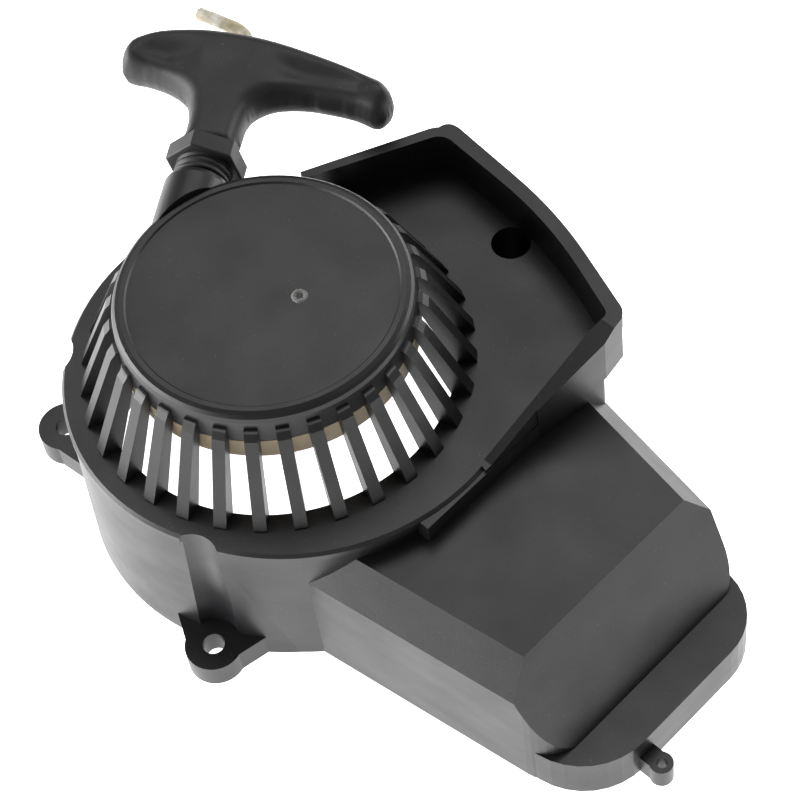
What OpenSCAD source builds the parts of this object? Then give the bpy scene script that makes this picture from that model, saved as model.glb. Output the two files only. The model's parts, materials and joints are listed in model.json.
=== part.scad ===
// Recoil starter for a small two-stroke engine: a one-piece moulded fan housing with a round
// recoil cap on a ring of cooling fins, a raised tray, an air duct, a rope reel with its spiral
// spring, and a T handle on a braided rope.
// The origin is on the crankshaft axis at the mounting plane. +X runs along the air duct,
// +Z points away from the engine.

/* [Fan housing] */
// Outer radius of the drum at the deck
drum_r = 53; // [52:0.5:54]
// Outer radius of the drum at the mounting plane
drum_base_r = 54.3; // [54:0.1:56]
// Height of the deck above the mounting plane
deck_z = 47; // [46:0.5:48]
// Thickness of the moulded walls
wall = 2.5; // [2.2:0.1:2.8]
// Radius of the opening in the deck
deck_hole_r = 43.7; // [43:0.1:44.5]
// Outer radius of the recoil cap
cap_r = 36; // [35.8:0.1:36.2]
// Height of the cap's top
cap_top_z = 76; // [75.5:0.5:77]

/* [Cooling fins] */
// Number of fins
fin_count = 27; // [20:1:27]
// Angle from one fin to the next
fin_pitch = 11.43; // [11.3:0.01:11.5]
// Angle of the first fin
fin_start = -152.1; // [-153:0.1:-151]
// Thickness of one fin
fin_t = 3.2; // [2.6:0.1:3.6]

/* [Air duct] */
// Height of the duct's top
duct_z = 40; // [38:0.5:42]
// Distance from the axis to the duct's outer end
duct_end_x = 122; // [118:0.5:126]
// Height of the flange rim round the duct's foot
lip_z = 13; // [11:0.5:15]

/* [Tray] */
// Height of the tray's rim
rim_z = 60; // [58:0.5:61]
// Thickness of the tray's rim
rim_t = 2.4; // [2:0.1:2.8]

/* [Mounting holes] */
// Radius of the clearance holes for M5 screws
ear_hole_r = 2.75; // [2.6:0.05:2.9]
// Outer radius of a mounting ear
ear_r = 7.2; // [6.8:0.1:7.6]
// Thickness of a mounting ear
ear_t = 7; // [6:0.5:8]

/* [Rope and handle] */
// Diameter of the rope
rope_d = 3.5; // [3:0.1:3.6]
// Height of the rope's line
rope_z = 69.1; // [69:0.1:69.3]
// Direction in which the rope leaves
rope_az = 123.1; // [121:0.1:125]
// Distance from the reel's axis to the rope's line
rope_offset = 24.5; // [24:0.1:25]
// Length of the handle's cross bar
bar_len = 70; // [66:1:74]
// Tilt of the cross bar about the rope
bar_tilt = 3.6; // [0:0.1:8]

/* [Hidden] */
$fn = 96;
fine = 144;
eps = 0.01;

// Stack of heights on the reel's axis, from the cap down
cap_under_z = cap_top_z - 2.4;
cap_wall_z = 67.35;
cap_in_r = cap_r - 2.4;
groove_h = rope_d + 0.3;
groove_top = rope_z + groove_h / 2;
groove_bottom = rope_z - groove_h / 2;
flange_top = groove_top + 1.2;
web_bottom = groove_bottom - 1.4;
reel_rim_top = 66.95;
reel_rim_bottom = 60.9;
reel_r = 36.3;
flange_r = cap_in_r - 0.7;
cup_plane_z = 58.4;
post_end_z = 56;
post_r = 6.5;
bush_r = 7.8;
core_r = 10;
case_r = 26.2;
winding_r = rope_offset + rope_d / 2;
lead_start = 14.5;

// Drive cup and its fasteners
cup_t = 1.5;
cup_r = 21.5;
cup_bottom_z = 47.5;
cup_flange_r = 30.4;
cup_screw_r = 28;

// Scroll of the fan chamber, set off from the crankshaft axis
scroll_x = 3;
scroll_y = 4;
scroll_r = 55.2;
scroll_deck_r = 56.2;
deck_under_z = deck_z - wall;

// Mounting ears: positions of the three screw holes
ear_front = [24.1, -53.0];
ear_left = [-47.4, -36.2];
ear_left_z = 14;
tray_hole = [18.6, 63.4];
well_r = 5;
boss_r = 7.4;

// Duct outline, from the left wall's root round the outer end to the right wall's root
duct_end = 111.2;
duct_foot = [[20, -37.6], [duct_end, -24.4], [duct_end, 40.9], [62, 49.6], [13.9, 57.8]];
duct_turn_z = 33;
duct_turn_x = 100.7;
duct_top_x = 97;
chamfer_left = 8.4;
chamfer_right = 6;
lip_outline = [[30, -35.8], [duct_end_x, -22.5], [duct_end_x, 38.8], [50, 51.6]];

// Tray outline
tray_back = [-29.5, 39];
tray_corner = [-12.3, 74];
tray_right = [60.4, 58];
tray_front_x = 59.7;
tray_front_y = 10;

// Rope line: unit vectors along the rope and across it
rope_dir = [cos(rope_az), sin(rope_az), 0];
rope_side = [sin(rope_az), -cos(rope_az), 0];
snout_r = 8.5;
snout_end = 34.5;
eyelet_len = 3.8;
handle_seat = 39.2;
knot_floor = 33;

// Points of a polygon whose corners are rounded, each corner by its own radius
function arc_points(p, a, b, r, n) =
    let (
        u = (a - p) / norm(a - p),
        v = (b - p) / norm(b - p),
        half = acos(u * v) / 2,
        c = p + (u + v) / norm(u + v) * r / sin(half),
        s = p + u * r / tan(half) - c,
        e = p + v * r / tan(half) - c,
        turn = cross([s.x, s.y, 0], [e.x, e.y, 0]).z > 0 ? 1 : -1,
        sweep = acos(min(1, max(-1, s * e / (r * r)))) * turn
    )
    [for (i = [0:n])
        let (t = sweep * i / n) c + [s.x * cos(t) - s.y * sin(t), s.x * sin(t) + s.y * cos(t)]];
function rounded(pts, radii, n = 8) =
    let (m = len(pts))
    [for (i = [0:m - 1]) each
        (radii[i] <= 0 ? [pts[i]]
            : arc_points(pts[i], pts[(i + m - 1) % m], pts[(i + 1) % m], radii[i], n))];

// Places a shape on the rope's line: +Z along the rope, +X level and across it
module on_rope(along, tilt = 0) {
    translate([
        rope_dir.x * along - rope_side.x * rope_offset,
        rope_dir.y * along - rope_side.y * rope_offset,
        rope_z
    ])
        rotate([0, 0, rope_az - 90])
            rotate([-90, 0, 0])
                rotate([0, 0, tilt])
                    children();
}

module ring(outer, inner, bottom, top) {
    translate([0, 0, bottom])
        difference() {
            cylinder(h = top - bottom, r = outer);
            translate([0, 0, -1])
                cylinder(h = top - bottom + 2, r = inner);
        }
}

module slab(pts, radii, bottom, height) {
    translate([0, 0, bottom])
        linear_extrude(height)
            polygon(rounded(pts, radii));
}

// ---- Fan housing ----

module cap() {
    step_r = cap_r * 0.9;
    rotate_extrude($fn = fine)
        polygon([
            [0, cap_under_z], [cap_in_r, cap_under_z], [cap_in_r + 0.1, cap_wall_z],
            [cap_r + 0.4, cap_wall_z], [cap_r + 0.1, cap_top_z - 2.2],
            [cap_r - 0.3, cap_top_z - 1.1], [cap_r - 1, cap_top_z - 0.4], [cap_r - 2, cap_top_z],
            [step_r + 0.4, cap_top_z], [step_r, cap_top_z - 0.4], [0, cap_top_z - 0.4]
        ]);
}

module fin() {
    rotate([90, 0, 0])
        linear_extrude(fin_t, center = true)
            polygon([
                [cap_r - 1.4, cap_wall_z + 1], [cap_r - 1.4, cap_top_z - 4],
                [cap_r + 1, cap_top_z - 4], [cap_r + 1.3, cap_top_z - 4.6],
                [cap_r + 2.6, cap_top_z - 6.2], [deck_hole_r + 4.8, deck_z + 0.5],
                [deck_hole_r + 4.8, deck_z - 1.5], [deck_hole_r + 0.3, deck_z - 1.9],
                [cap_r + 0.3, cap_wall_z + 0.3]
            ]);
}

module fins() {
    for (i = [0:fin_count - 1])
        rotate([0, 0, fin_start + i * fin_pitch])
            fin();
}

module drum(r_base, r_skirt, r_deck) {
    rotate_extrude($fn = fine)
        polygon([
            [0, 0], [r_base, 0], [r_skirt, deck_under_z], [r_deck, deck_under_z],
            [r_deck, deck_z - 0.9], [r_deck - 0.7, deck_z], [0, deck_z]
        ]);
}

module tray_points(inset, bottom, height) {
    d = inset * 1.3;
    slab(
        [
            tray_back + [inset * 0.9, -inset * 0.4], tray_corner + [d * 0.6, -d],
            [28, 69.8 - inset], tray_right + [-inset, -inset], [tray_front_x - inset, 52 - inset],
            [tray_front_x - inset, tray_front_y]
        ],
        [0, 7 - inset, 120, 3.5 - inset / 2, 0, 0], bottom, height
    );
}

module tray_solid() {
    difference() {
        union() {
            tray_points(0, deck_under_z, rim_z - deck_under_z);
            // Front wall, thicker towards the right corner
            slab([[58.5, 28], [60, 28], [62.5, 49.3], [61.2, 57.4], [58.5, 57.4]],
                [0, 0, 1.2, 1, 0], deck_under_z, rim_z - deck_under_z);
        }
        tray_points(rim_t, deck_z, rim_z);
        // The front rim runs down from the corner to the deck
        translate([tray_front_x - rim_t - 4, 0, 0])
            rotate([90, 0, 90])
                linear_extrude(12)
                    polygon([
                        [-20, deck_z], [12, deck_z], [53.5, rim_z], [53.5, rim_z + 20],
                        [-20, rim_z + 20]
                    ]);
        // Clear of the fins and the cap
        translate([0, 0, deck_z])
            cylinder(h = 40, r = deck_hole_r + 1.2);
    }
    // Bead along the outside of the right rim
    difference() {
        slab(
            [[-13, 69], [-12.6, 74.4], [-9, 74.9], [28, 70.8], tray_right + [0.9, 0.4],
                tray_right + [0.7, -4.5], tray_right + [-6, -3]],
            [0, 3, 3, 120, 4, 0.8, 0], rim_z - 5.2, 5.2 - eps
        );
        tray_points(rim_t / 2, 0, 100);
    }
}

// One top edge of the duct, cut back along its side wall
module duct_chamfer(start, angle, side, width, inset) {
    depth = duct_z - duct_turn_z;
    translate([start.x, start.y, 0])
        rotate([0, 0, angle])
            rotate([90, 0, 90])
                translate([side * inset * 0.6, -inset * 0.6])
                    linear_extrude(150)
                        polygon([
                            [-side * width, duct_turn_z - depth], [side * width * 2, duct_z + depth],
                            [-side * width, duct_z + depth]
                        ]);
}

module duct_shape(inset, bottom) {
    s = inset;
    difference() {
        intersection() {
            slab(
                duct_foot + [[0, s], [-s, s], [-s, -s], [0, -s], [0, -s]],
                [0, 10 - s, 7 - s, 0, 0], bottom, duct_z - s - bottom
            );
            rotate([90, 0, 0])
                linear_extrude(200, center = true)
                    polygon([
                        [0, bottom - 1], [0, duct_z + 1], [duct_top_x - s, duct_z + 1],
                        [duct_top_x - s, duct_z - s], [duct_turn_x - s, duct_turn_z - s * 0.6],
                        [duct_end - s, lip_z], [duct_end + 1, lip_z], [duct_end + 1, bottom - 1]
                    ]);
        }
        duct_chamfer(duct_foot[0], 8.24, 1, chamfer_left, s);
        duct_chamfer(duct_foot[3] - [80, -14.16], -10.03, -1, chamfer_right, s);
    }
}

module ear(position, top) {
    away = atan2(position.y, position.x);
    reach = norm(position);
    rotate([0, 0, away])
        translate([0, 0, top - ear_t])
            linear_extrude(ear_t)
                difference() {
                    union() {
                        translate([reach, 0])
                            circle(r = ear_r);
                        polygon([
                            [reach + 2.5, -ear_r + 1.2], [reach + 2.5, ear_r - 1.2],
                            [drum_r - 1.5, ear_r + 5.5], [drum_r - 1.5, -ear_r - 5.5]
                        ]);
                    }
                    translate([reach, 0])
                        circle(r = ear_hole_r);
                }
}

module left_ear_ribs() {
    away = atan2(ear_left.y, ear_left.x);
    rib_t = 2.2;
    for (side = [-1, 1])
        rotate([0, 0, away])
            translate([0, side * (ear_hole_r + 2.2), 0])
                rotate([90, 0, 0])
                    linear_extrude(rib_t, center = true)
                        polygon([
                            [drum_r - 1, 0], [drum_base_r + 1, 0],
                            [norm(ear_left) + 3, ear_left_z - ear_t + 0.5],
                            [drum_r - 1, ear_left_z - ear_t + 0.5]
                        ]);
}

module snout() {
    difference() {
        on_rope(0)
            rotate_extrude()
                polygon([
                    [0, 16], [snout_r, 16], [snout_r, snout_end - 2], [snout_r - 0.5, snout_end - 0.7],
                    [snout_r - 1.6, snout_end], [0, snout_end]
                ]);
        translate([0, 0, cap_wall_z - 30])
            cylinder(h = 30, r = reel_r + 0.7);
        translate([0, 0, cap_wall_z - 1])
            cylinder(h = 30, r = cap_r - 1.2);
    }
}

module housing_solids() {
    drum(drum_base_r, drum_r - 0.2, drum_r + 0.3);
    translate([scroll_x, scroll_y, 0])
        drum(scroll_r, scroll_r, scroll_deck_r);
    duct_shape(0, 0);
    slab(lip_outline, [0, 19, 16, 0], 0, lip_z);
    // Riser between the duct's roof and the tray
    slab([[20, -10], [60, -10], [60, 28], [62.5, 49.3], [13.9, 57.5]], [0, 0, 0, 1.2, 0], 20,
        deck_z - 21);
    tray_solid();
    translate([tray_hole.x, tray_hole.y, 0])
        cylinder(h = deck_z - 0.5, r = boss_r);
    // Spring catch nub on the duct's outer end
    translate([duct_end_x - 1, -7.5, 0])
        cube([5.5, 5, 6.5]);
    translate([duct_end_x + 4.4, -5, 0])
        cylinder(h = 6.5, r = 2.9, $fn = 48);
}

module housing_hollows() {
    translate([0, 0, -1])
        cylinder(h = deck_under_z + 1, r = drum_r - wall, $fn = fine);
    translate([scroll_x, scroll_y, -1])
        cylinder(h = deck_under_z + 1, r = scroll_r - wall, $fn = fine);
    duct_shape(wall, -1);
    slab([[30, -33], [duct_end_x - wall - 7, -21.5], [duct_end_x - wall - 7, 37], [50, 49.3]],
        [0, 12, 9, 0], -1, 4);
    slab([[20, -7], [56, -7], [56, 46.6], [57.5, 47.6], [18, 54.6]], [0, 0, 0, 0, 0], 19,
        deck_under_z - 19);
    translate([0, 0, deck_under_z - 1])
        cylinder(h = 10, r = deck_hole_r, $fn = fine);
    // Screw grooves beside the two ears
    translate([ear_front.x, ear_front.y, ear_t - 2])
        cylinder(h = 60, r = ear_r - 0.3);
    translate([ear_left.x, ear_left.y, ear_left_z - 2])
        cylinder(h = 60, r = ear_r + 1);
}

module fan_housing() {
    color("#2b2b2c")
        difference() {
            union() {
                difference() {
                    housing_solids();
                    housing_hollows();
                }
                cap();
                fins();
                snout();
                ear(ear_front, ear_t);
                ear(ear_left, ear_left_z);
                left_ear_ribs();
                translate([0, 0, post_end_z])
                    cylinder(h = cap_top_z - post_end_z - 1.5, r = post_r);
                // Column under the tray's screw well
                difference() {
                    translate([tray_hole.x, tray_hole.y, 0])
                        cylinder(h = deck_z - 0.5, r = boss_r);
                    translate([0, 0, deck_z - 1])
                        cylinder(h = 5, r = deck_hole_r);
                }
            }
            translate([tray_hole.x, tray_hole.y, -1])
                cylinder(h = 40, r = ear_hole_r);
            translate([tray_hole.x, tray_hole.y, ear_t])
                cylinder(h = deck_z - ear_t + 0.6, r = well_r);
            translate([duct_end_x + 4.6, -5, -1])
                cylinder(h = 10, r = 1.3, $fn = 48);
            // Seat of the threaded insert
            translate([0, 0, post_end_z - 1])
                cylinder(h = 13, r = 4.4);
            // Rope passage and the eyelet's seat
            on_rope(14)
                cylinder(h = 30, r = 2.6);
            on_rope(snout_end - eyelet_len)
                cylinder(h = 10, r = 4);
        }
}

module post_insert() {
    color("#b8963e")
        ring(4.4, 3, post_end_z, post_end_z + 12);
}

module rope_eyelet() {
    color("#8d8f92")
        on_rope(snout_end - eyelet_len)
            rotate_extrude()
                polygon([
                    [2.3, 0], [4, 0], [4, eyelet_len], [3.4, eyelet_len + 0.3],
                    [2.9, eyelet_len], [2.4, eyelet_len - 1], [2.3, eyelet_len - 2]
                ]);
}

// ---- Reel ----

module reel() {
    color("#cdbf9c")
        difference() {
            rotate_extrude($fn = fine)
                polygon([
                    [bush_r, web_bottom], [case_r, web_bottom], [case_r, cup_plane_z],
                    [cup_flange_r + 0.2, cup_plane_z], [cup_flange_r + 0.2, web_bottom],
                    [reel_r - 2.2, web_bottom], [reel_r - 2.2, reel_rim_bottom],
                    [reel_r, reel_rim_bottom], [reel_r, reel_rim_top],
                    [cap_in_r + 0.4, reel_rim_top], [cap_in_r - 0.2, groove_bottom],
                    [core_r, groove_bottom], [core_r, groove_top], [flange_r, groove_top],
                    [flange_r, flange_top], [bush_r + 3, flange_top],
                    [bush_r + 3, cap_under_z - 0.4], [bush_r, cap_under_z - 0.4]
                ]);
            for (i = [0:2])
                rotate([0, 0, 30 + 120 * i])
                    translate([cup_screw_r, 0, cup_plane_z - 1])
                        cylinder(h = 6.5, r = 1.2, $fn = 32);
            // Pocket for the rope's stopper knot, open at the top
            rotate([0, 0, 40])
                translate([core_r + 3.4, 0, groove_top - 0.5])
                    cylinder(h = 4, r = 2.9, $fn = 48);
        }
}

module reel_bush() {
    color("#b08a3c")
        ring(bush_r, post_r + 0.05, web_bottom, cap_under_z - 0.4);
}

module rope_winding() {
    color("#e8e2cf") {
        ring(winding_r, core_r, groove_bottom + 0.1, groove_top - 0.1);
        // The last coil runs off the reel towards the snout
        on_rope(2)
            cylinder(h = lead_start - 0.3 - 2, r = rope_d / 2, $fn = 32);
    }
}

module reel_knot() {
    color("#e8e2cf")
        rotate([0, 0, 40])
            translate([core_r + 3.4, 0, groove_top + 0.1])
                cylinder(h = 2.3, r = 2.7, $fn = 48);
}

module spring_case() {
    color("#9a9ea2")
        ring(case_r - 0.05, case_r - 0.55, cup_plane_z + 0.85, web_bottom - 0.05);
}

spring_turns = 11;
spring_in_r = 6.85;
spring_out_r = 24.7;
spring_strip = 0.6;
spring_steps = 30;
module recoil_spring() {
    steps = spring_turns * spring_steps;
    rise = (spring_out_r - spring_in_r) / steps;
    inner = [for (i = [0:steps])
        let (a = i * 360 / spring_steps, r = spring_in_r + rise * i) [r * cos(a), r * sin(a)]];
    outer = [for (i = [steps:-1:0])
        let (a = i * 360 / spring_steps, r = spring_in_r + rise * i + spring_strip)
            [r * cos(a), r * sin(a)]];
    color("#55595e")
        translate([0, 0, cup_plane_z + 1.1])
            linear_extrude(web_bottom - cup_plane_z - 1.5)
                polygon(concat(inner, outer));
}

module spring_cover() {
    color("#9a9ea2")
        ring(case_r - 0.05, 8.2, cup_plane_z, cup_plane_z + 0.8);
}

module drive_cup() {
    color("#8a8d90")
        difference() {
            rotate_extrude()
                polygon([
                    [8.2, cup_plane_z - cup_t], [cup_r - cup_t, cup_plane_z - cup_t],
                    [cup_r - cup_t, cup_bottom_z], [cup_r, cup_bottom_z],
                    [cup_r, cup_plane_z - cup_t], [cup_flange_r, cup_plane_z - cup_t],
                    [cup_flange_r, cup_plane_z], [8.2, cup_plane_z]
                ]);
            // Slots that the flywheel's claws catch
            for (i = [0:3])
                rotate([0, 0, 90 * i])
                    translate([cup_r - 4, -4, cup_bottom_z - 1])
                        cube([8, 8, 6.5]);
            for (i = [0:2])
                rotate([0, 0, 30 + 120 * i])
                    translate([cup_screw_r, 0, cup_plane_z - 3])
                        cylinder(h = 5, r = 1.6, $fn = 32);
        }
}

module drive_cup_screws() {
    color("#b9bcc0")
        for (i = [0:2])
            rotate([0, 0, 30 + 120 * i])
                translate([cup_screw_r, 0, cup_plane_z - cup_t])
                    difference() {
                        union() {
                            cylinder(h = 6, r = 1.2, $fn = 32);
                            translate([0, 0, -1.6])
                                cylinder(h = 1.6, r1 = 2, r2 = 2.4, $fn = 32);
                        }
                        for (a = [0, 90])
                            rotate([0, 0, a])
                                translate([-1.6, -0.3, -1.7])
                                    cube([3.2, 0.6, 0.9]);
                    }
}

module thrust_washer() {
    color("#7a3b26")
        ring(12, 6.9, post_end_z, post_end_z + 0.6);
}

module retaining_washer() {
    color("#b9bcc0")
        ring(13, 3.2, post_end_z - 1.5, post_end_z);
}

module lock_washer() {
    color("#a8abaf")
        difference() {
            ring(5.4, 3.2, post_end_z - 2.6, post_end_z - 1.55);
            translate([3, -0.4, post_end_z - 4])
                cube([4, 0.8, 4]);
        }
}

module centre_screw() {
    head_z = post_end_z - 2.65;
    color("#b9bcc0") {
        translate([0, 0, head_z - 1])
            cylinder(h = 13, r = 2.98);
        difference() {
            union() {
                translate([0, 0, head_z - 4])
                    cylinder(h = 4, r = 5.7, $fn = 6);
                translate([0, 0, head_z - 1])
                    cylinder(h = 1, r = 6.4);
            }
            translate([0, 0, head_z - 5])
                cylinder(h = 1.6, r = 3.6);
        }
    }
}

// ---- Rope and handle ----

module rope_lead() {
    color("#e8e2cf")
        on_rope(lead_start)
            cylinder(h = handle_seat + knot_floor + 0.25 - lead_start, r = rope_d / 2, $fn = 32);
}

module knot_washer() {
    color("#b9bcc0")
        on_rope(handle_seat + knot_floor + 0.3)
            difference() {
                cylinder(h = 1, r = 5.6);
                translate([0, 0, -1])
                    cylinder(h = 3, r = 1.9);
            }
}

module handle_knot() {
    color("#e8e2cf")
        on_rope(handle_seat + knot_floor + 5.6)
            sphere(r = 4.2, $fn = 48);
}

// Hand-placed route of the rope's free end, seen along the bar (x) and along the rope (z)
tail_route = [
    [0.8, 0, 43.3], [0.2, 0, 44.6], [-1.2, 0, 45.9], [-3.4, -0.2, 46.9], [-6, -0.4, 47.8],
    [-8.6, -0.5, 48.7], [-11.2, -0.6, 49.5], [-13.4, -0.6, 50.2]
];
module rope_tail() {
    sides = 8;
    n = len(tail_route);
    function tangent(i) =
        let (d = tail_route[min(n - 1, i + 1)] - tail_route[max(0, i - 1)]) d / norm(d);
    function ring_point(i, k) =
        let (
            t = tangent(i), u = [t.z, 0, -t.x] / norm([t.z, 0, -t.x]), v = cross(t, u),
            a = 360 * k / sides
        )
        tail_route[i] + (u * cos(a) + v * sin(a)) * rope_d / 2;
    points = [for (i = [0:n - 1], k = [0:sides - 1]) ring_point(i, k)];
    walls = [for (i = [0:n - 2], k = [0:sides - 1])
        let (a = i * sides + k, b = i * sides + (k + 1) % sides) [a, b, b + sides, a + sides]];
    ends = [[for (k = [sides - 1:-1:0]) k], [for (k = [0:sides - 1]) (n - 1) * sides + k]];
    color("#e8e2cf")
        on_rope(handle_seat)
            polyhedron(points, concat(walls, ends));
}

// Outlines of the handle: x along the cross bar, y along the rope
arm_short = [[2, 23], [2, 41.8], [-10, 41.6], [-19.8, 39.6], [-25.4, 36.8], [-27.8, 34],
    [-28.5, 30.4], [-27.6, 27], [-16.4, 24.4]];
arm_long = [[-2, 23], [-2, 41.8], [2, 41.8], [16.2, 39.3], [29.7, 35.6], [38.1, 32.6], [41.2, 30],
    [42.4, 27.6], [41.7, 24.2], [38.7, 22]];
stem = [[-7, 3], [7, 3], [7.3, 16], [9.2, 20], [13, 23], [19.8, 24.8], [19.8, 30], [-18, 30],
    [-18, 25], [-12.5, 22.8], [-9.2, 19.4], [-7.4, 15]];

module bar_slice(pts, inset, depth) {
    rotate([90, 0, 0])
        linear_extrude(depth, center = true)
            offset(r = -inset, $fn = 24)
                scale(bar_len / 70)
                    polygon(pts);
}

module pull_handle() {
    color("#333334")
        on_rope(handle_seat, bar_tilt)
            difference() {
                union() {
                    rotate([0, 0, 15])
                        cylinder(h = 5.2, r = 10, $fn = 6);
                    translate([0, 0, -4.2])
                        cylinder(h = 4.6, r = 7.2);
                    for (arm = [arm_short, arm_long])
                        hull() {
                            bar_slice(arm, 0.01, 5);
                            bar_slice(arm, 1.2, 10.5);
                            bar_slice(arm, 4, 14.6);
                        }
                    rotate([90, 0, 0])
                        linear_extrude(11.6, center = true)
                            polygon(stem);
                    rotate([90, 0, 0])
                        linear_extrude(13.4, center = true)
                            intersection() {
                                polygon(stem);
                                translate([-5.6, 4])
                                    square([11.2, 20]);
                            }
                }
                translate([0, 0, -5])
                    cylinder(h = 60, r = 2.3);
                translate([0, 0, knot_floor])
                    cylinder(h = 20, r = 6.2);
            }
}

fan_housing();
post_insert();
rope_eyelet();
reel();
reel_bush();
rope_winding();
reel_knot();
spring_case();
recoil_spring();
spring_cover();
drive_cup();
drive_cup_screws();
thrust_washer();
retaining_washer();
lock_washer();
centre_screw();
rope_lead();
knot_washer();
handle_knot();
rope_tail();
pull_handle();
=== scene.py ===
import json
import math
import random

import bmesh
import bpy
import numpy as np
from mathutils import Matrix, Quaternion, Vector


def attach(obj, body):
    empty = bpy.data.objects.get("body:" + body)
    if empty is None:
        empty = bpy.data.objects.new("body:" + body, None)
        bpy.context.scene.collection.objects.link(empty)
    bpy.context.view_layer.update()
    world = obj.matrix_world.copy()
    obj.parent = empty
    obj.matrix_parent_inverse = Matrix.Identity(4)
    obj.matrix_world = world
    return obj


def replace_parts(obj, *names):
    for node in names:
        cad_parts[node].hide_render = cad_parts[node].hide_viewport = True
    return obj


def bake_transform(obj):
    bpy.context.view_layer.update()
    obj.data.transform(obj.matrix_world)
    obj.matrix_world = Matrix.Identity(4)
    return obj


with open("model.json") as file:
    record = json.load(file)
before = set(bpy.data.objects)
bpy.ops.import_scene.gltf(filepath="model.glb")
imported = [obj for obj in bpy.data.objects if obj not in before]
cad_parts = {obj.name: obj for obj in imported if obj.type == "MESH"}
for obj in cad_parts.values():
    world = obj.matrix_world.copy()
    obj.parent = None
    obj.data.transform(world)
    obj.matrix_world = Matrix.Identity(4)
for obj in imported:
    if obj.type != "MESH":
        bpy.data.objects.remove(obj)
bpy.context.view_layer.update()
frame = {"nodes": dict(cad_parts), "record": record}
random.seed(7)
MM = 0.001

# The rope's line, as the CAD has it
ROPE_AZIMUTH = math.radians(123.1)
ROPE_OFFSET = 24.5 * MM
ROPE_Z = 69.1 * MM
ROPE_R = 1.75 * MM
HANDLE_SEAT = 39.2 * MM
BAR_TILT = math.radians(3.6)
LEAD_START = 14.5 * MM
KNOT_FLOOR = 33 * MM
KNOT_CENTRE = KNOT_FLOOR + 5.6 * MM
BORE_R = 2.3
ALONG = Vector((math.cos(ROPE_AZIMUTH), math.sin(ROPE_AZIMUTH), 0))
ACROSS = Vector((ALONG.y, -ALONG.x, 0))


def rope_frame(distance, tilt=0.0):
    """+Z along the rope, +X level and across it, +Y down."""
    place = ALONG * distance - ACROSS * ROPE_OFFSET + Vector((0, 0, ROPE_Z))
    turn = Matrix((ACROSS, (0, 0, -1), ALONG)).transposed().to_4x4()
    return Matrix.Translation(place) @ turn @ Matrix.Rotation(tilt, 4, "Z")


# ---- Camera ----
CAMERA_AT = Vector((0.30853, -0.20987, 0.55767))
CAMERA_LOOK = Vector((-0.44700, 0.35555, -0.82083))
CAMERA_ROLL = math.radians(-9.04)
camera_data = bpy.data.cameras.new("camera")
camera_data.sensor_width = 36
camera_data.lens = 117
camera_data.clip_end = 10
camera = bpy.data.objects.new("camera", camera_data)
bpy.context.collection.objects.link(camera)
camera.rotation_mode = "QUATERNION"
camera.location = CAMERA_AT
level_view = CAMERA_LOOK.to_track_quat("-Z", "Y")
camera.rotation_quaternion = level_view @ Quaternion((0, 0, 1), CAMERA_ROLL)
bpy.context.scene.camera = camera


# ---- Materials ----
class Shader:
    """A Principled material with object-space coordinates, built node by node."""

    def __init__(self, name, colour, rough, metallic=0.0, specular=0.5):
        self.material = bpy.data.materials.new(name)
        self.material.use_nodes = True
        self.tree = self.material.node_tree
        self.shader = self.tree.nodes["Principled BSDF"]
        self.shader.inputs["Base Color"].default_value = (*colour, 1)
        self.shader.inputs["Roughness"].default_value = rough
        self.shader.inputs["Metallic"].default_value = metallic
        self.shader.inputs["Specular IOR Level"].default_value = specular
        self.place = self.tree.nodes.new("ShaderNodeTexCoord").outputs["Object"]
        self.normal = None

    def noise(self, scale, detail=3.0, stretch=None):
        source = self.place
        if stretch:
            mapping = self.tree.nodes.new("ShaderNodeMapping")
            mapping.inputs["Scale"].default_value = stretch
            self.tree.links.new(source, mapping.inputs["Vector"])
            source = mapping.outputs["Vector"]
        node = self.tree.nodes.new("ShaderNodeTexNoise")
        node.inputs["Scale"].default_value = scale
        node.inputs["Detail"].default_value = detail
        self.tree.links.new(source, node.inputs["Vector"])
        return node.outputs["Fac"]

    def ramp(self, factor, stops):
        node = self.tree.nodes.new("ShaderNodeValToRGB")
        elements = node.color_ramp.elements
        while len(elements) < len(stops):
            elements.new(0.5)
        for element, (at, value) in zip(elements, stops, strict=True):
            element.position = at
            element.color = (*value, 1) if isinstance(value, tuple) else (value, value, value, 1)
        self.tree.links.new(factor, node.inputs["Fac"])
        return node.outputs["Color"]

    def mix(self, factor, first, second):
        node = self.tree.nodes.new("ShaderNodeMix")
        node.data_type = "RGBA"
        self.tree.links.new(factor, node.inputs["Factor"])
        for value, socket in ((first, node.inputs["A"]), (second, node.inputs["B"])):
            if isinstance(value, tuple):
                socket.default_value = (*value, 1)
            else:
                self.tree.links.new(value, socket)
        return node.outputs["Result"]

    def drive(self, socket, value):
        self.tree.links.new(value, self.shader.inputs[socket])

    def bump(self, height, strength, distance):
        node = self.tree.nodes.new("ShaderNodeBump")
        node.inputs["Strength"].default_value = strength
        node.inputs["Distance"].default_value = distance
        self.tree.links.new(height, node.inputs["Height"])
        if self.normal:
            self.tree.links.new(self.normal, node.inputs["Normal"])
        self.normal = node.outputs["Normal"]
        self.tree.links.new(self.normal, self.shader.inputs["Normal"])


def moulded_plastic(name, dark, light, smooth, rough, grain):
    """Black glass-filled plastic: cloudy tone, fine grain, scattered dust and flow marks."""
    s = Shader(name, dark, rough, specular=0.5)
    cloud = s.ramp(s.noise(38, 4), [(0.35, dark), (0.7, light)])
    dust = s.ramp(s.noise(1500, 1), [(0.715, 0.0), (0.76, 0.5)])
    s.drive("Base Color", s.mix(dust, cloud, tuple(min(1, 4 * c) for c in light)))
    s.drive("Roughness", s.ramp(s.noise(60, 3, (1, 1, 2.2)), [(0.3, smooth), (0.72, rough)]))
    s.bump(s.noise(1900, 2), grain, 0.00006)
    s.bump(s.noise(75, 2), 0.07, 0.0006)
    return s.material


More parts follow.
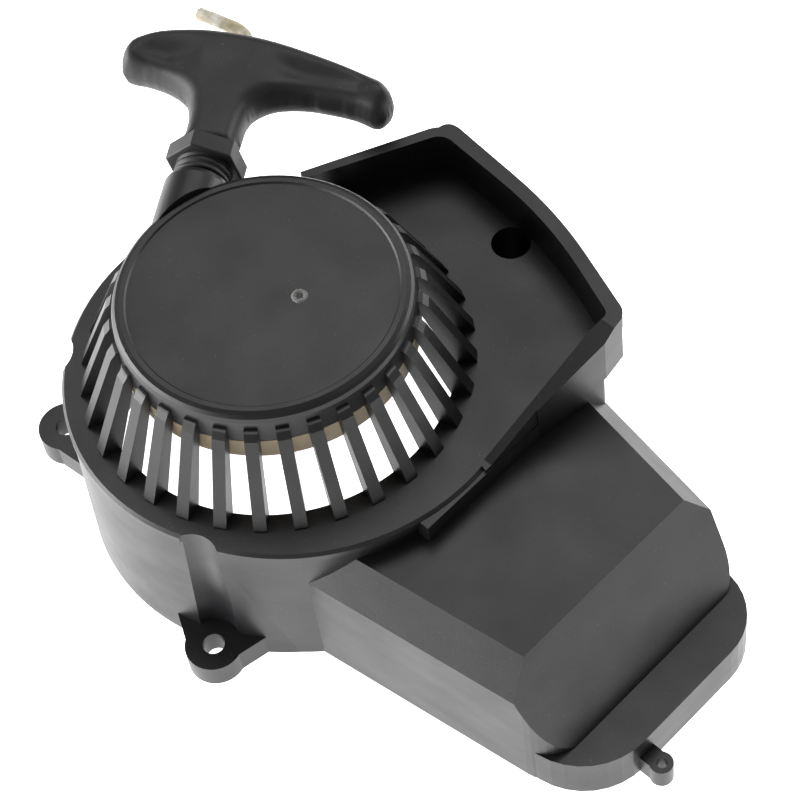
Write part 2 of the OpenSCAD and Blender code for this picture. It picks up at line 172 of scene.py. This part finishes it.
def metal(name, colour, smooth, rough, stretch=(1, 1, 1)):
    s = Shader(name, colour, rough, metallic=1.0)
    pale = tuple(min(1, c * 1.15) for c in colour)
    dull = tuple(c * 0.72 for c in colour)
    s.drive("Base Color", s.ramp(s.noise(90, 4), [(0.3, dull), (0.7, pale)]))
    s.drive("Roughness", s.ramp(s.noise(220, 3, stretch), [(0.3, smooth), (0.7, rough)]))
    s.bump(s.noise(600, 2, stretch), 0.2, 0.00005)
    return s.material


def nylon():
    s = Shader("reel_nylon", (0.5, 0.42, 0.28), 0.42)
    tone = [(0.3, (0.40, 0.32, 0.20)), (0.75, (0.56, 0.47, 0.33))]
    s.drive("Base Color", s.ramp(s.noise(70, 3), tone))
    s.drive("Roughness", s.ramp(s.noise(120, 2), [(0.3, 0.34), (0.7, 0.5)]))
    s.shader.inputs["Subsurface Weight"].default_value = 0.15
    s.shader.inputs["Subsurface Scale"].default_value = 0.002
    s.bump(s.noise(900, 2), 0.15, 0.00006)
    return s.material


def braid(name, stain):
    s = Shader(name, (0.8, 0.76, 0.64), 0.85, specular=0.25)
    clean = s.ramp(s.noise(420, 3), [(0.3, (0.62, 0.57, 0.43)), (0.65, (0.86, 0.83, 0.74))])
    stained = s.ramp(s.noise(130, 2), [(0.45, 0.0), (0.7, stain)])
    s.drive("Base Color", s.mix(stained, clean, (0.55, 0.42, 0.16)))
    s.bump(s.noise(3200, 2), 0.5, 0.00015)
    return s.material


def fibre():
    s = Shader("fibre", (0.25, 0.09, 0.05), 0.8)
    tone = [(0.3, (0.18, 0.06, 0.03)), (0.7, (0.33, 0.14, 0.08))]
    s.drive("Base Color", s.ramp(s.noise(700, 4), tone))
    s.bump(s.noise(1500, 2), 0.3, 0.0001)
    return s.material


MATERIALS = {
    "housing_plastic": moulded_plastic(
        "housing_plastic", (0.010, 0.010, 0.0115), (0.017, 0.017, 0.0185), 0.33, 0.43, 0.4),
    "handle_plastic": moulded_plastic(
        "handle_plastic", (0.014, 0.014, 0.015), (0.022, 0.022, 0.023), 0.44, 0.6, 0.6),
    "torn_plastic": moulded_plastic(
        "torn_plastic", (0.03, 0.03, 0.031), (0.5, 0.5, 0.48), 0.5, 0.8, 1.0),
    "reel_nylon": nylon(),
    "rope": braid("rope", 0.5),
    "steel": metal("steel", (0.46, 0.47, 0.49), 0.24, 0.42),
    "spring_steel": metal("spring_steel", (0.19, 0.20, 0.22), 0.24, 0.4, (1, 1, 8)),
    "zinc": metal("zinc", (0.62, 0.62, 0.60), 0.2, 0.36),
    "brass": metal("brass", (0.66, 0.46, 0.17), 0.22, 0.4),
    "bronze": metal("bronze", (0.5, 0.33, 0.14), 0.3, 0.5),
    "fibre": fibre(),
}
SLOTS = {row["node"]: row["material_slot"] for row in frame["record"]["subparts"]}


def paint(piece, name):
    piece.data.materials.clear()
    piece.data.materials.append(MATERIALS[name])
    for face in piece.data.polygons:
        face.material_index = 0


# ---- Making pieces ----
def new_piece(name, points, faces, body, slot, place=None):
    mesh = bpy.data.meshes.new(name)
    mesh.from_pydata([tuple(p) for p in points], [], faces)
    if place is not None:
        mesh.transform(place)
    edit = bmesh.new()
    edit.from_mesh(mesh)
    bmesh.ops.remove_doubles(edit, verts=edit.verts, dist=1e-6)
    bmesh.ops.recalc_face_normals(edit, faces=edit.faces)
    edit.to_mesh(mesh)
    edit.free()
    for face in mesh.polygons:
        face.use_smooth = True
    piece = bpy.data.objects.new(name, mesh)
    bpy.context.collection.objects.link(piece)
    paint(piece, slot)
    if body:
        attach(piece, body)
    return piece


def modifier(piece, kind, **values):
    made = piece.modifiers.new(kind.lower(), kind)
    for key, value in values.items():
        setattr(made, key, value)


def soften_edges(piece, width, angle=28):
    """Small moulded or stamped radii on a CAD node's hard edges."""
    modifier(piece, "DECIMATE", decimate_type="DISSOLVE", angle_limit=math.radians(0.6))
    modifier(piece, "BEVEL", width=width, segments=2, limit_method="ANGLE",
             angle_limit=math.radians(angle), use_clamp_overlap=True, harden_normals=False)
    modifier(piece, "WEIGHTED_NORMAL", keep_sharp=True, weight=60)
    for face in piece.data.polygons:
        face.use_smooth = True


STRANDS = 3
BRAID_PITCH = 3.1
BRAID_LIFT, BRAID_MEAN, BRAID_CORE = 0.2, 0.75, 0.97


def tube(path, radius, sides, braided=True, cap=True):
    """Points and faces of a rope along a path, its surface raised where braided strands cross."""
    path = [Vector(p) for p in path]
    points, faces = [], []
    normal = Vector((0, 0, 1))
    travelled = 0.0
    for i, here in enumerate(path):
        ahead = path[min(i + 1, len(path) - 1)] - path[max(i - 1, 0)]
        ahead.normalize()
        normal = (normal - ahead * normal.dot(ahead)).normalized()
        side = ahead.cross(normal)
        if i:
            travelled += (here - path[i - 1]).length
        for k in range(sides):
            turn = 2 * math.pi * k / sides
            lift = 0.0
            if braided:
                twist = travelled / (BRAID_PITCH * radius) * math.pi
                first = abs(math.cos(STRANDS * turn + twist))
                second = abs(math.cos(STRANDS * turn - twist))
                lift = BRAID_LIFT * (max(first, second) - BRAID_MEAN)
            reach = radius * (BRAID_CORE + lift)
            points.append(here + (normal * math.cos(turn) + side * math.sin(turn)) * reach)
    for i in range(len(path) - 1):
        for k in range(sides):
            a, b = i * sides + k, i * sides + (k + 1) % sides
            faces.append((a, b, b + sides, a + sides))
    if cap:
        faces.append(tuple(reversed(range(sides))))
        faces.append(tuple(range((len(path) - 1) * sides, len(path) * sides)))
    return points, faces


def smooth_path(points, step):
    """A Catmull-Rom curve through the points, cut into short steps."""
    points = [Vector(p) for p in points]
    ends = [2 * points[0] - points[1]] + points + [2 * points[-1] - points[-2]]
    out = []
    for i in range(1, len(ends) - 2):
        a, b, c, d = ends[i - 1:i + 3]
        cuts = max(1, round((c - b).length / step))
        for j in range(cuts):
            t = j / cuts
            out.append(0.5 * (2 * b + (c - a) * t + (2 * a - 5 * b + 4 * c - d) * t * t
                              + (3 * b - a - 3 * c + d) * t * t * t))
    out.append(points[-1])
    return out


# ---- CAD nodes: edges and materials ----
EDGE = {"fan_housing": 0.45 * MM, "reel": 0.3 * MM, "drive_cup": 0.25 * MM}
for node_name, node in frame["nodes"].items():
    paint(node, SLOTS[node_name])
    soften_edges(node, EDGE.get(node_name, 0.12 * MM))

# ---- Rope ----
COILS = 4
COIL_STEPS = COILS * 72
RUN_OFF_STEPS = 12
LEAD_STEPS = 160
BRAID_SIDES = 24
inner_radius = ROPE_OFFSET - COILS * 2 * ROPE_R
leave = ROPE_AZIMUTH + math.pi / 2
spiral = []
for i in range(COIL_STEPS + 1):
    share = i / COIL_STEPS
    angle = leave + 2 * math.pi * COILS * (1 - share)
    radius = inner_radius + (ROPE_OFFSET - inner_radius) * share
    spiral.append(Vector((radius * math.cos(angle), radius * math.sin(angle), ROPE_Z)))
run_off = [
    rope_frame(LEAD_START * t / RUN_OFF_STEPS).to_translation() for t in range(1, RUN_OFF_STEPS + 1)
]
points, faces = tube(spiral + run_off, ROPE_R, 12, braided=False)
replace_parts(new_piece("wound_rope", points, faces, "reel", "rope"), "rope_winding")

lead_end = HANDLE_SEAT + KNOT_FLOOR + 0.25 * MM
lead_step = (lead_end - LEAD_START) / LEAD_STEPS
lead_path = [rope_frame(LEAD_START + lead_step * t).to_translation() for t in range(LEAD_STEPS + 1)]
points, faces = tube(lead_path, ROPE_R, BRAID_SIDES)
lead = new_piece("rope_to_handle", points, faces, None, "rope")
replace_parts(lead, "rope_lead")
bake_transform(lead)

# Route of the free end, as the CAD has it
TAIL_ROUTE = [(0.8, 0, 43.3), (0.2, 0, 44.6), (-1.2, 0, 45.9), (-3.4, -0.2, 46.9), (-6, -0.4, 47.8),
              (-8.6, -0.5, 48.7), (-11.2, -0.6, 49.5), (-13.4, -0.6, 50.2)]
tail_place = rope_frame(HANDLE_SEAT)
tail_path = [tail_place @ (Vector(p) * MM) for p in smooth_path(TAIL_ROUTE, 0.35)]
points, faces = tube(tail_path, ROPE_R, BRAID_SIDES)
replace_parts(new_piece("rope_free_end", points, faces, "pull", "rope"), "rope_tail")

# A trefoil in millimetres stands for the tied stopper knot
KNOT_STEPS = 180
KNOT_MEAN_R, KNOT_SWING, KNOT_RISE = 1.75, 0.85, 2.1
KNOT_ROPE_R = 1.5 * MM
knot_place = rope_frame(HANDLE_SEAT + KNOT_CENTRE)
knot_path = []
for i in range(KNOT_STEPS + 1):
    turn = 2 * math.pi * i / KNOT_STEPS
    swing = KNOT_MEAN_R + KNOT_SWING * math.cos(3 * turn)
    rise = KNOT_RISE * math.sin(3 * turn)
    spot = Vector((swing * math.cos(2 * turn), swing * math.sin(2 * turn), rise))
    knot_path.append(knot_place @ (spot * MM))
points, faces = tube(knot_path, KNOT_ROPE_R, 20, cap=False)
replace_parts(new_piece("stopper_knot", points, faces, "pull", "rope"), "handle_knot")

# ---- T handle ----
def smooth_outline(points, step=0.6):
    """A closed outline with its corners drawn as curves; its last point is its first."""
    return [(p.x, p.y) for p in smooth_path([(x, z, 0) for x, z in points], step)][:-1]


# Outline of the grip in millimetres: x along the cross bar, z along the rope
BAR_OUTLINE = [
    (7.0, 4.6), (7.1, 10), (7.4, 16), (9.0, 20.2), (13, 23.2), (19.8, 24.4), (27, 24.2),
    (33.2, 23.4), (37.6, 22.0), (40.2, 22.4), (41.9, 24.6), (42.4, 27.6), (41.2, 30), (38.1, 32.6),
    (29.7, 35.6), (16.2, 39.3), (8, 41.0), (0.3, 41.8), (-10, 41.6), (-19.8, 39.6), (-25.4, 36.8),
    (-27.8, 34), (-28.5, 30.4), (-27.8, 27.4), (-26, 26.2), (-21, 25.5), (-16, 24.3), (-12, 22.3),
    (-9.0, 19.2), (-7.5, 14.4), (-7.1, 9), (-7.0, 4.6), (7.0, 4.6),
]


def nearest_on(outline, x, z):
    """Distance of points to a closed outline (inside is positive), and the nearest points."""
    a = np.array(outline)
    b = np.roll(a, -1, axis=0)
    p = np.stack([x, z], axis=1)
    span = b - a
    t = ((p[:, None] - a) * span).sum(2) / (span * span).sum(1)
    t = np.clip(t, 0, 1)
    foot = a + t[..., None] * span
    gap = np.linalg.norm(p[:, None] - foot, axis=2)
    best = gap.argmin(1)
    rows = np.arange(len(p))
    straddles = (a[:, 1] > p[:, None, 1]) != (b[:, 1] > p[:, None, 1])
    height = np.where(span[:, 1] == 0, 1e-9, span[:, 1])
    left_of = p[:, None, 0] < span[:, 0] * (p[:, None, 1] - a[:, 1]) / height + a[:, 0]
    inside = (straddles & left_of).sum(1) % 2 == 1
    return np.where(inside, gap[rows, best], -gap[rows, best]), foot[rows, best]


# Heights of the palm edge and of the finger edge along the bar, and the stem's half thickness
PALM_EDGE = ((-28, -20, -10, 0, 16, 30, 38, 43), (34, 39, 41.5, 42.2, 39.8, 36, 33, 27))
FINGER_EDGE = ((-28, -16, -9, 0, 9, 20, 33, 42), (28, 26.5, 28.5, 31, 28.5, 25.5, 25, 25))
STEM_HALF = ((4, 18, 26, 33), (5.9, 5.8, 6.7, 7.2))
FINGER_HALF = 5.9
PALM_EXTRA = 1.3
STEM_REACH, STEM_FADE = 13, 8
SCOOP_DEPTH = 1.7
SCOOP_RISE, SCOOP_SPREAD = 4.2, 3.4
SCOOP_ENDS, SCOOP_FADE = (-26, 38), 5
SCOOP_FROM_STEM, SCOOP_STEM_FADE = 7, 9
ROUND_OVER = 4.6
ROUND_POWER = 2.3


def handle_half(x, z, depth):
    """Half thickness of the handle at a point: full along the palm edge, scooped by the fingers."""
    palm = np.interp(x, *PALM_EDGE)
    finger = np.interp(x, *FINGER_EDGE)
    across = np.clip((z - finger) / np.maximum(palm - finger, 1), 0, 1)
    full = FINGER_HALF + PALM_EXTRA * np.sin(np.clip(across * 1.6, 0, 1) * math.pi / 2)
    near = np.clip((STEM_REACH - np.abs(x)) / STEM_FADE, 0, 1)
    near = near * near * (3 - 2 * near)
    full = full + (np.maximum(full, np.interp(z, *STEM_HALF)) - full) * near
    scoop = np.exp(-(((z - (finger + SCOOP_RISE)) / SCOOP_SPREAD) ** 2))
    scoop *= np.clip((np.abs(x) - SCOOP_FROM_STEM) / SCOOP_STEM_FADE, 0, 1)
    scoop *= np.clip((SCOOP_ENDS[1] - x) / SCOOP_FADE, 0, 1)
    scoop *= np.clip((x - SCOOP_ENDS[0]) / SCOOP_FADE, 0, 1)
    edge = np.clip(depth / ROUND_OVER, 0, 1)
    return (full - SCOOP_DEPTH * scoop) * np.sqrt(np.clip(1 - (1 - edge) ** ROUND_POWER, 0, 1))


def handle_mesh(grid=0.55, margin=0.12):
    """Both faces of the grip over a grid whose outer cells are drawn in to the outline."""
    outline = smooth_outline(BAR_OUTLINE)
    xs = np.arange(-31, 45, grid)
    zs = np.arange(2, 45, grid)
    gx, gz = np.meshgrid(xs, zs, indexing="ij")
    depth, foot = nearest_on(outline, gx.ravel(), gz.ravel())
    inside = depth > margin
    place = np.stack([gx.ravel(), gz.ravel()], axis=1)
    place[~inside] = foot[~inside]
    half = np.where(inside, handle_half(place[:, 0], place[:, 1], depth), 0.0)
    columns = len(zs)
    points, faces, numbers = [], [], {}

    def number(i, side):
        key = (i, side if inside[i] else 0)
        if key not in numbers:
            numbers[key] = len(points)
            points.append((place[i, 0] * MM, side * half[i] * MM, place[i, 1] * MM))
        return numbers[key]

    for i in range(len(xs) - 1):
        for j in range(columns - 1):
            near_row, far_row = i * columns + j, (i + 1) * columns + j
            corners = [near_row, far_row, far_row + 1, near_row + 1]
            if any(inside[c] for c in corners):
                faces.append([number(c, 1) for c in corners])
                faces.append([number(c, -1) for c in reversed(corners)])
    return points, faces


handle_place = rope_frame(HANDLE_SEAT, BAR_TILT)
points, faces = handle_mesh()
grip = new_piece("handle_grip", points, faces, "handle", "handle_plastic", handle_place)
modifier(grip, "SMOOTH", factor=0.5, iterations=4)
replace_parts(grip, "pull_handle")
# Pocket for the knot, sunk into the palm edge, and the rope's bore: radius, start and end
POCKET = (5.6 * MM, KNOT_FLOOR, KNOT_FLOOR + 20 * MM)
BORE = (BORE_R * MM, 0.0, KNOT_FLOOR + 1 * MM)
DRILL_SIDES = 48
for radius, start, end in (POCKET, BORE):
    turns = [2 * math.pi * k / DRILL_SIDES for k in range(DRILL_SIDES)]
    ring = [(radius * math.cos(turn), radius * math.sin(turn)) for turn in turns]
    drill = [(x, y, start) for x, y in ring] + [(x, y, end) for x, y in ring]
    walls = []
    for k in range(DRILL_SIDES):
        after = (k + 1) % DRILL_SIDES
        walls.append((k, after, DRILL_SIDES + after, DRILL_SIDES + k))
    walls += [tuple(range(DRILL_SIDES)), tuple(range(DRILL_SIDES, 2 * DRILL_SIDES))]
    cutter = new_piece("cutter", drill, walls, None, "handle_plastic", handle_place)
    modifier(grip, "BOOLEAN", operation="DIFFERENCE", solver="EXACT", object=cutter)
    bpy.context.view_layer.update()
    drilled = grip.evaluated_get(bpy.context.evaluated_depsgraph_get())
    cut_mesh = bpy.data.meshes.new_from_object(drilled)
    grip.modifiers.clear()
    grip.data = cut_mesh
    bpy.data.objects.remove(cutter)
for face in grip.data.polygons:
    face.use_smooth = True
grip.data.set_sharp_from_angle(angle=math.radians(50))


def turned(profile, sides):
    """Points and faces of a closed profile of (radius, height) turned about Z."""
    turns = [2 * math.pi * k / sides for k in range(sides)]
    points = [(r * math.cos(turn) * MM, r * math.sin(turn) * MM, h * MM)
              for r, h in profile for turn in turns]
    faces = []
    rows = len(profile)
    for i in range(rows):
        for k in range(sides):
            a, b = i * sides + k, i * sides + (k + 1) % sides
            c, d = ((i + 1) % rows) * sides + (k + 1) % sides, ((i + 1) % rows) * sides + k
            faces.append((a, b, c, d))
    return points, faces


# Profiles of (radius, height) in millimetres
COLLAR_PROFILE = [(BORE_R, 0), (9.7, 0), (10, 0.3), (10, 4.9), (9.7, 5.2), (BORE_R, 5.2)]
NECK_PROFILE = [
    (BORE_R, -4.2), (6.6, -4.2), (7.0, -3.8), (7.2, -3.2), (6.6, -2.9), (6.6, -2.3), (7.2, -2.0),
    (7.2, -1.2), (6.6, -0.9), (6.6, -0.4), (7.2, 0), (7.2, 0.4), (BORE_R, 0.4),
]
HEX_TURN = Matrix.Rotation(math.radians(15), 4, "Z")
points, faces = turned(COLLAR_PROFILE, 6)
collar = new_piece("handle_collar", points, faces, "handle", "handle_plastic",
                   handle_place @ HEX_TURN)
modifier(collar, "BEVEL", width=0.35 * MM, segments=2, limit_method="ANGLE",
         angle_limit=math.radians(30))
modifier(collar, "WEIGHTED_NORMAL")
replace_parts(collar, "pull_handle")
points, faces = turned(NECK_PROFILE, 64)
neck = new_piece("handle_neck", points, faces, "handle", "handle_plastic", handle_place)
modifier(neck, "WEIGHTED_NORMAL")
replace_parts(neck, "pull_handle")

# ---- Gate mark in the middle of the cap ----
GATE_X, GATE_Y = 7.6 * MM, 4.8 * MM
GATE_R = 2.0 * MM
GATE_SIDES, GATE_RINGS = 28, 7
CAP_DISC_Z = 75.6 * MM
DIP_DEPTH = 0.25 * MM
SUNK_BASE = 0.4 * MM
# A torn ridge round a small dip, in millimetres
RIDGE_HEIGHT, RIDGE_AT, RIDGE_SPREAD = 0.34, 0.72, 0.16
DIP, DIP_RINGS = 0.2, 3
TEAR_ACROSS, TEAR_UP = 0.12, 0.3
RIM_LIFT = -0.05
points = [(GATE_X, GATE_Y, CAP_DISC_Z - DIP_DEPTH)]
for ring in range(1, GATE_RINGS + 1):
    share = ring / GATE_RINGS
    for k in range(GATE_SIDES):
        turn = 2 * math.pi * k / GATE_SIDES
        reach = GATE_R * share * (1 + TEAR_ACROSS * random.random())
        height = RIDGE_HEIGHT * math.exp(-((share - RIDGE_AT) / RIDGE_SPREAD) ** 2)
        height -= DIP * (ring < DIP_RINGS)
        height += TEAR_UP * (random.random() - 0.5) * (ring < GATE_RINGS)
        lift = RIM_LIFT if ring == GATE_RINGS else height
        points.append((GATE_X + reach * math.cos(turn), GATE_Y + reach * math.sin(turn),
                       CAP_DISC_Z + lift * MM))
faces = [(0, 1 + k, 1 + (k + 1) % GATE_SIDES) for k in range(GATE_SIDES)]
for ring in range(GATE_RINGS - 1):
    start = 1 + ring * GATE_SIDES
    for k in range(GATE_SIDES):
        a, b = start + k, start + (k + 1) % GATE_SIDES
        faces.append((a, a + GATE_SIDES, b + GATE_SIDES, b))
base = len(points)
points += [(x, y, CAP_DISC_Z - SUNK_BASE) for x, y, _ in points[-GATE_SIDES:]]
for k in range(GATE_SIDES):
    a, b = base + k, base + (k + 1) % GATE_SIDES
    faces.append((a - GATE_SIDES, a, b, b - GATE_SIDES))
faces.append(tuple(base + k for k in range(GATE_SIDES)))
gate_mark = new_piece("gate_mark", points, faces, "housing", "housing_plastic")
paint(gate_mark, "torn_plastic")

# ---- Stage ----
FLOOR_REACH = 3
FLOOR_DROP = 0.4 * MM
FLOOR_GLOW = 1.7
WORLD_STRENGTH = 0.16
floor_corners = [(x * FLOOR_REACH, y * FLOOR_REACH, 0) for x, y in ((-1, -1), (1, -1), (1, 1), (-1, 1))]
floor_mesh = bpy.data.meshes.new("floor")
floor_mesh.from_pydata(floor_corners, [], [(0, 1, 2, 3)])
floor = bpy.data.objects.new("floor", floor_mesh)
floor.location.z = -FLOOR_DROP
bpy.context.collection.objects.link(floor)
pale = bpy.data.materials.new("floor")
pale.use_nodes = True
pale_shader = pale.node_tree.nodes["Principled BSDF"]
pale_shader.inputs["Base Color"].default_value = (0.9, 0.9, 0.9, 1)
pale_shader.inputs["Roughness"].default_value = 0.9
pale_shader.inputs["Emission Color"].default_value = (1, 1, 1, 1)
pale_shader.inputs["Emission Strength"].default_value = FLOOR_GLOW
floor.data.materials.append(pale)


def softbox(name, place, size, power, aim=(0.03, 0.0, 0.04)):
    light = bpy.data.lights.new(name, "AREA")
    light.shape = "RECTANGLE"
    light.size, light.size_y = size
    light.energy = power
    lamp = bpy.data.objects.new(name, light)
    lamp.location = place
    lamp.rotation_euler = (Vector(aim) - Vector(place)).to_track_quat("-Z", "Y").to_euler()
    bpy.context.collection.objects.link(lamp)


softbox("left_box", (-0.85, -0.75, 0.20), (1.1, 0.45), 16, (0, -0.02, 0.03))
softbox("top_box", (-0.35, 0.45, 1.15), (1.0, 0.7), 4.5)
softbox("front_box", (-0.33, -1.04, 0.50), (0.6, 0.3), 4.5)
softbox("back_box", (0.15, 1.0, 0.35), (0.9, 0.35), 5)

world = bpy.data.worlds.new("world")
world.use_nodes = True
world.node_tree.nodes["Background"].inputs["Color"].default_value = (1, 1, 1, 1)
world.node_tree.nodes["Background"].inputs["Strength"].default_value = WORLD_STRENGTH
bpy.context.scene.world = world
bpy.context.scene.view_settings.view_transform = "Standard"
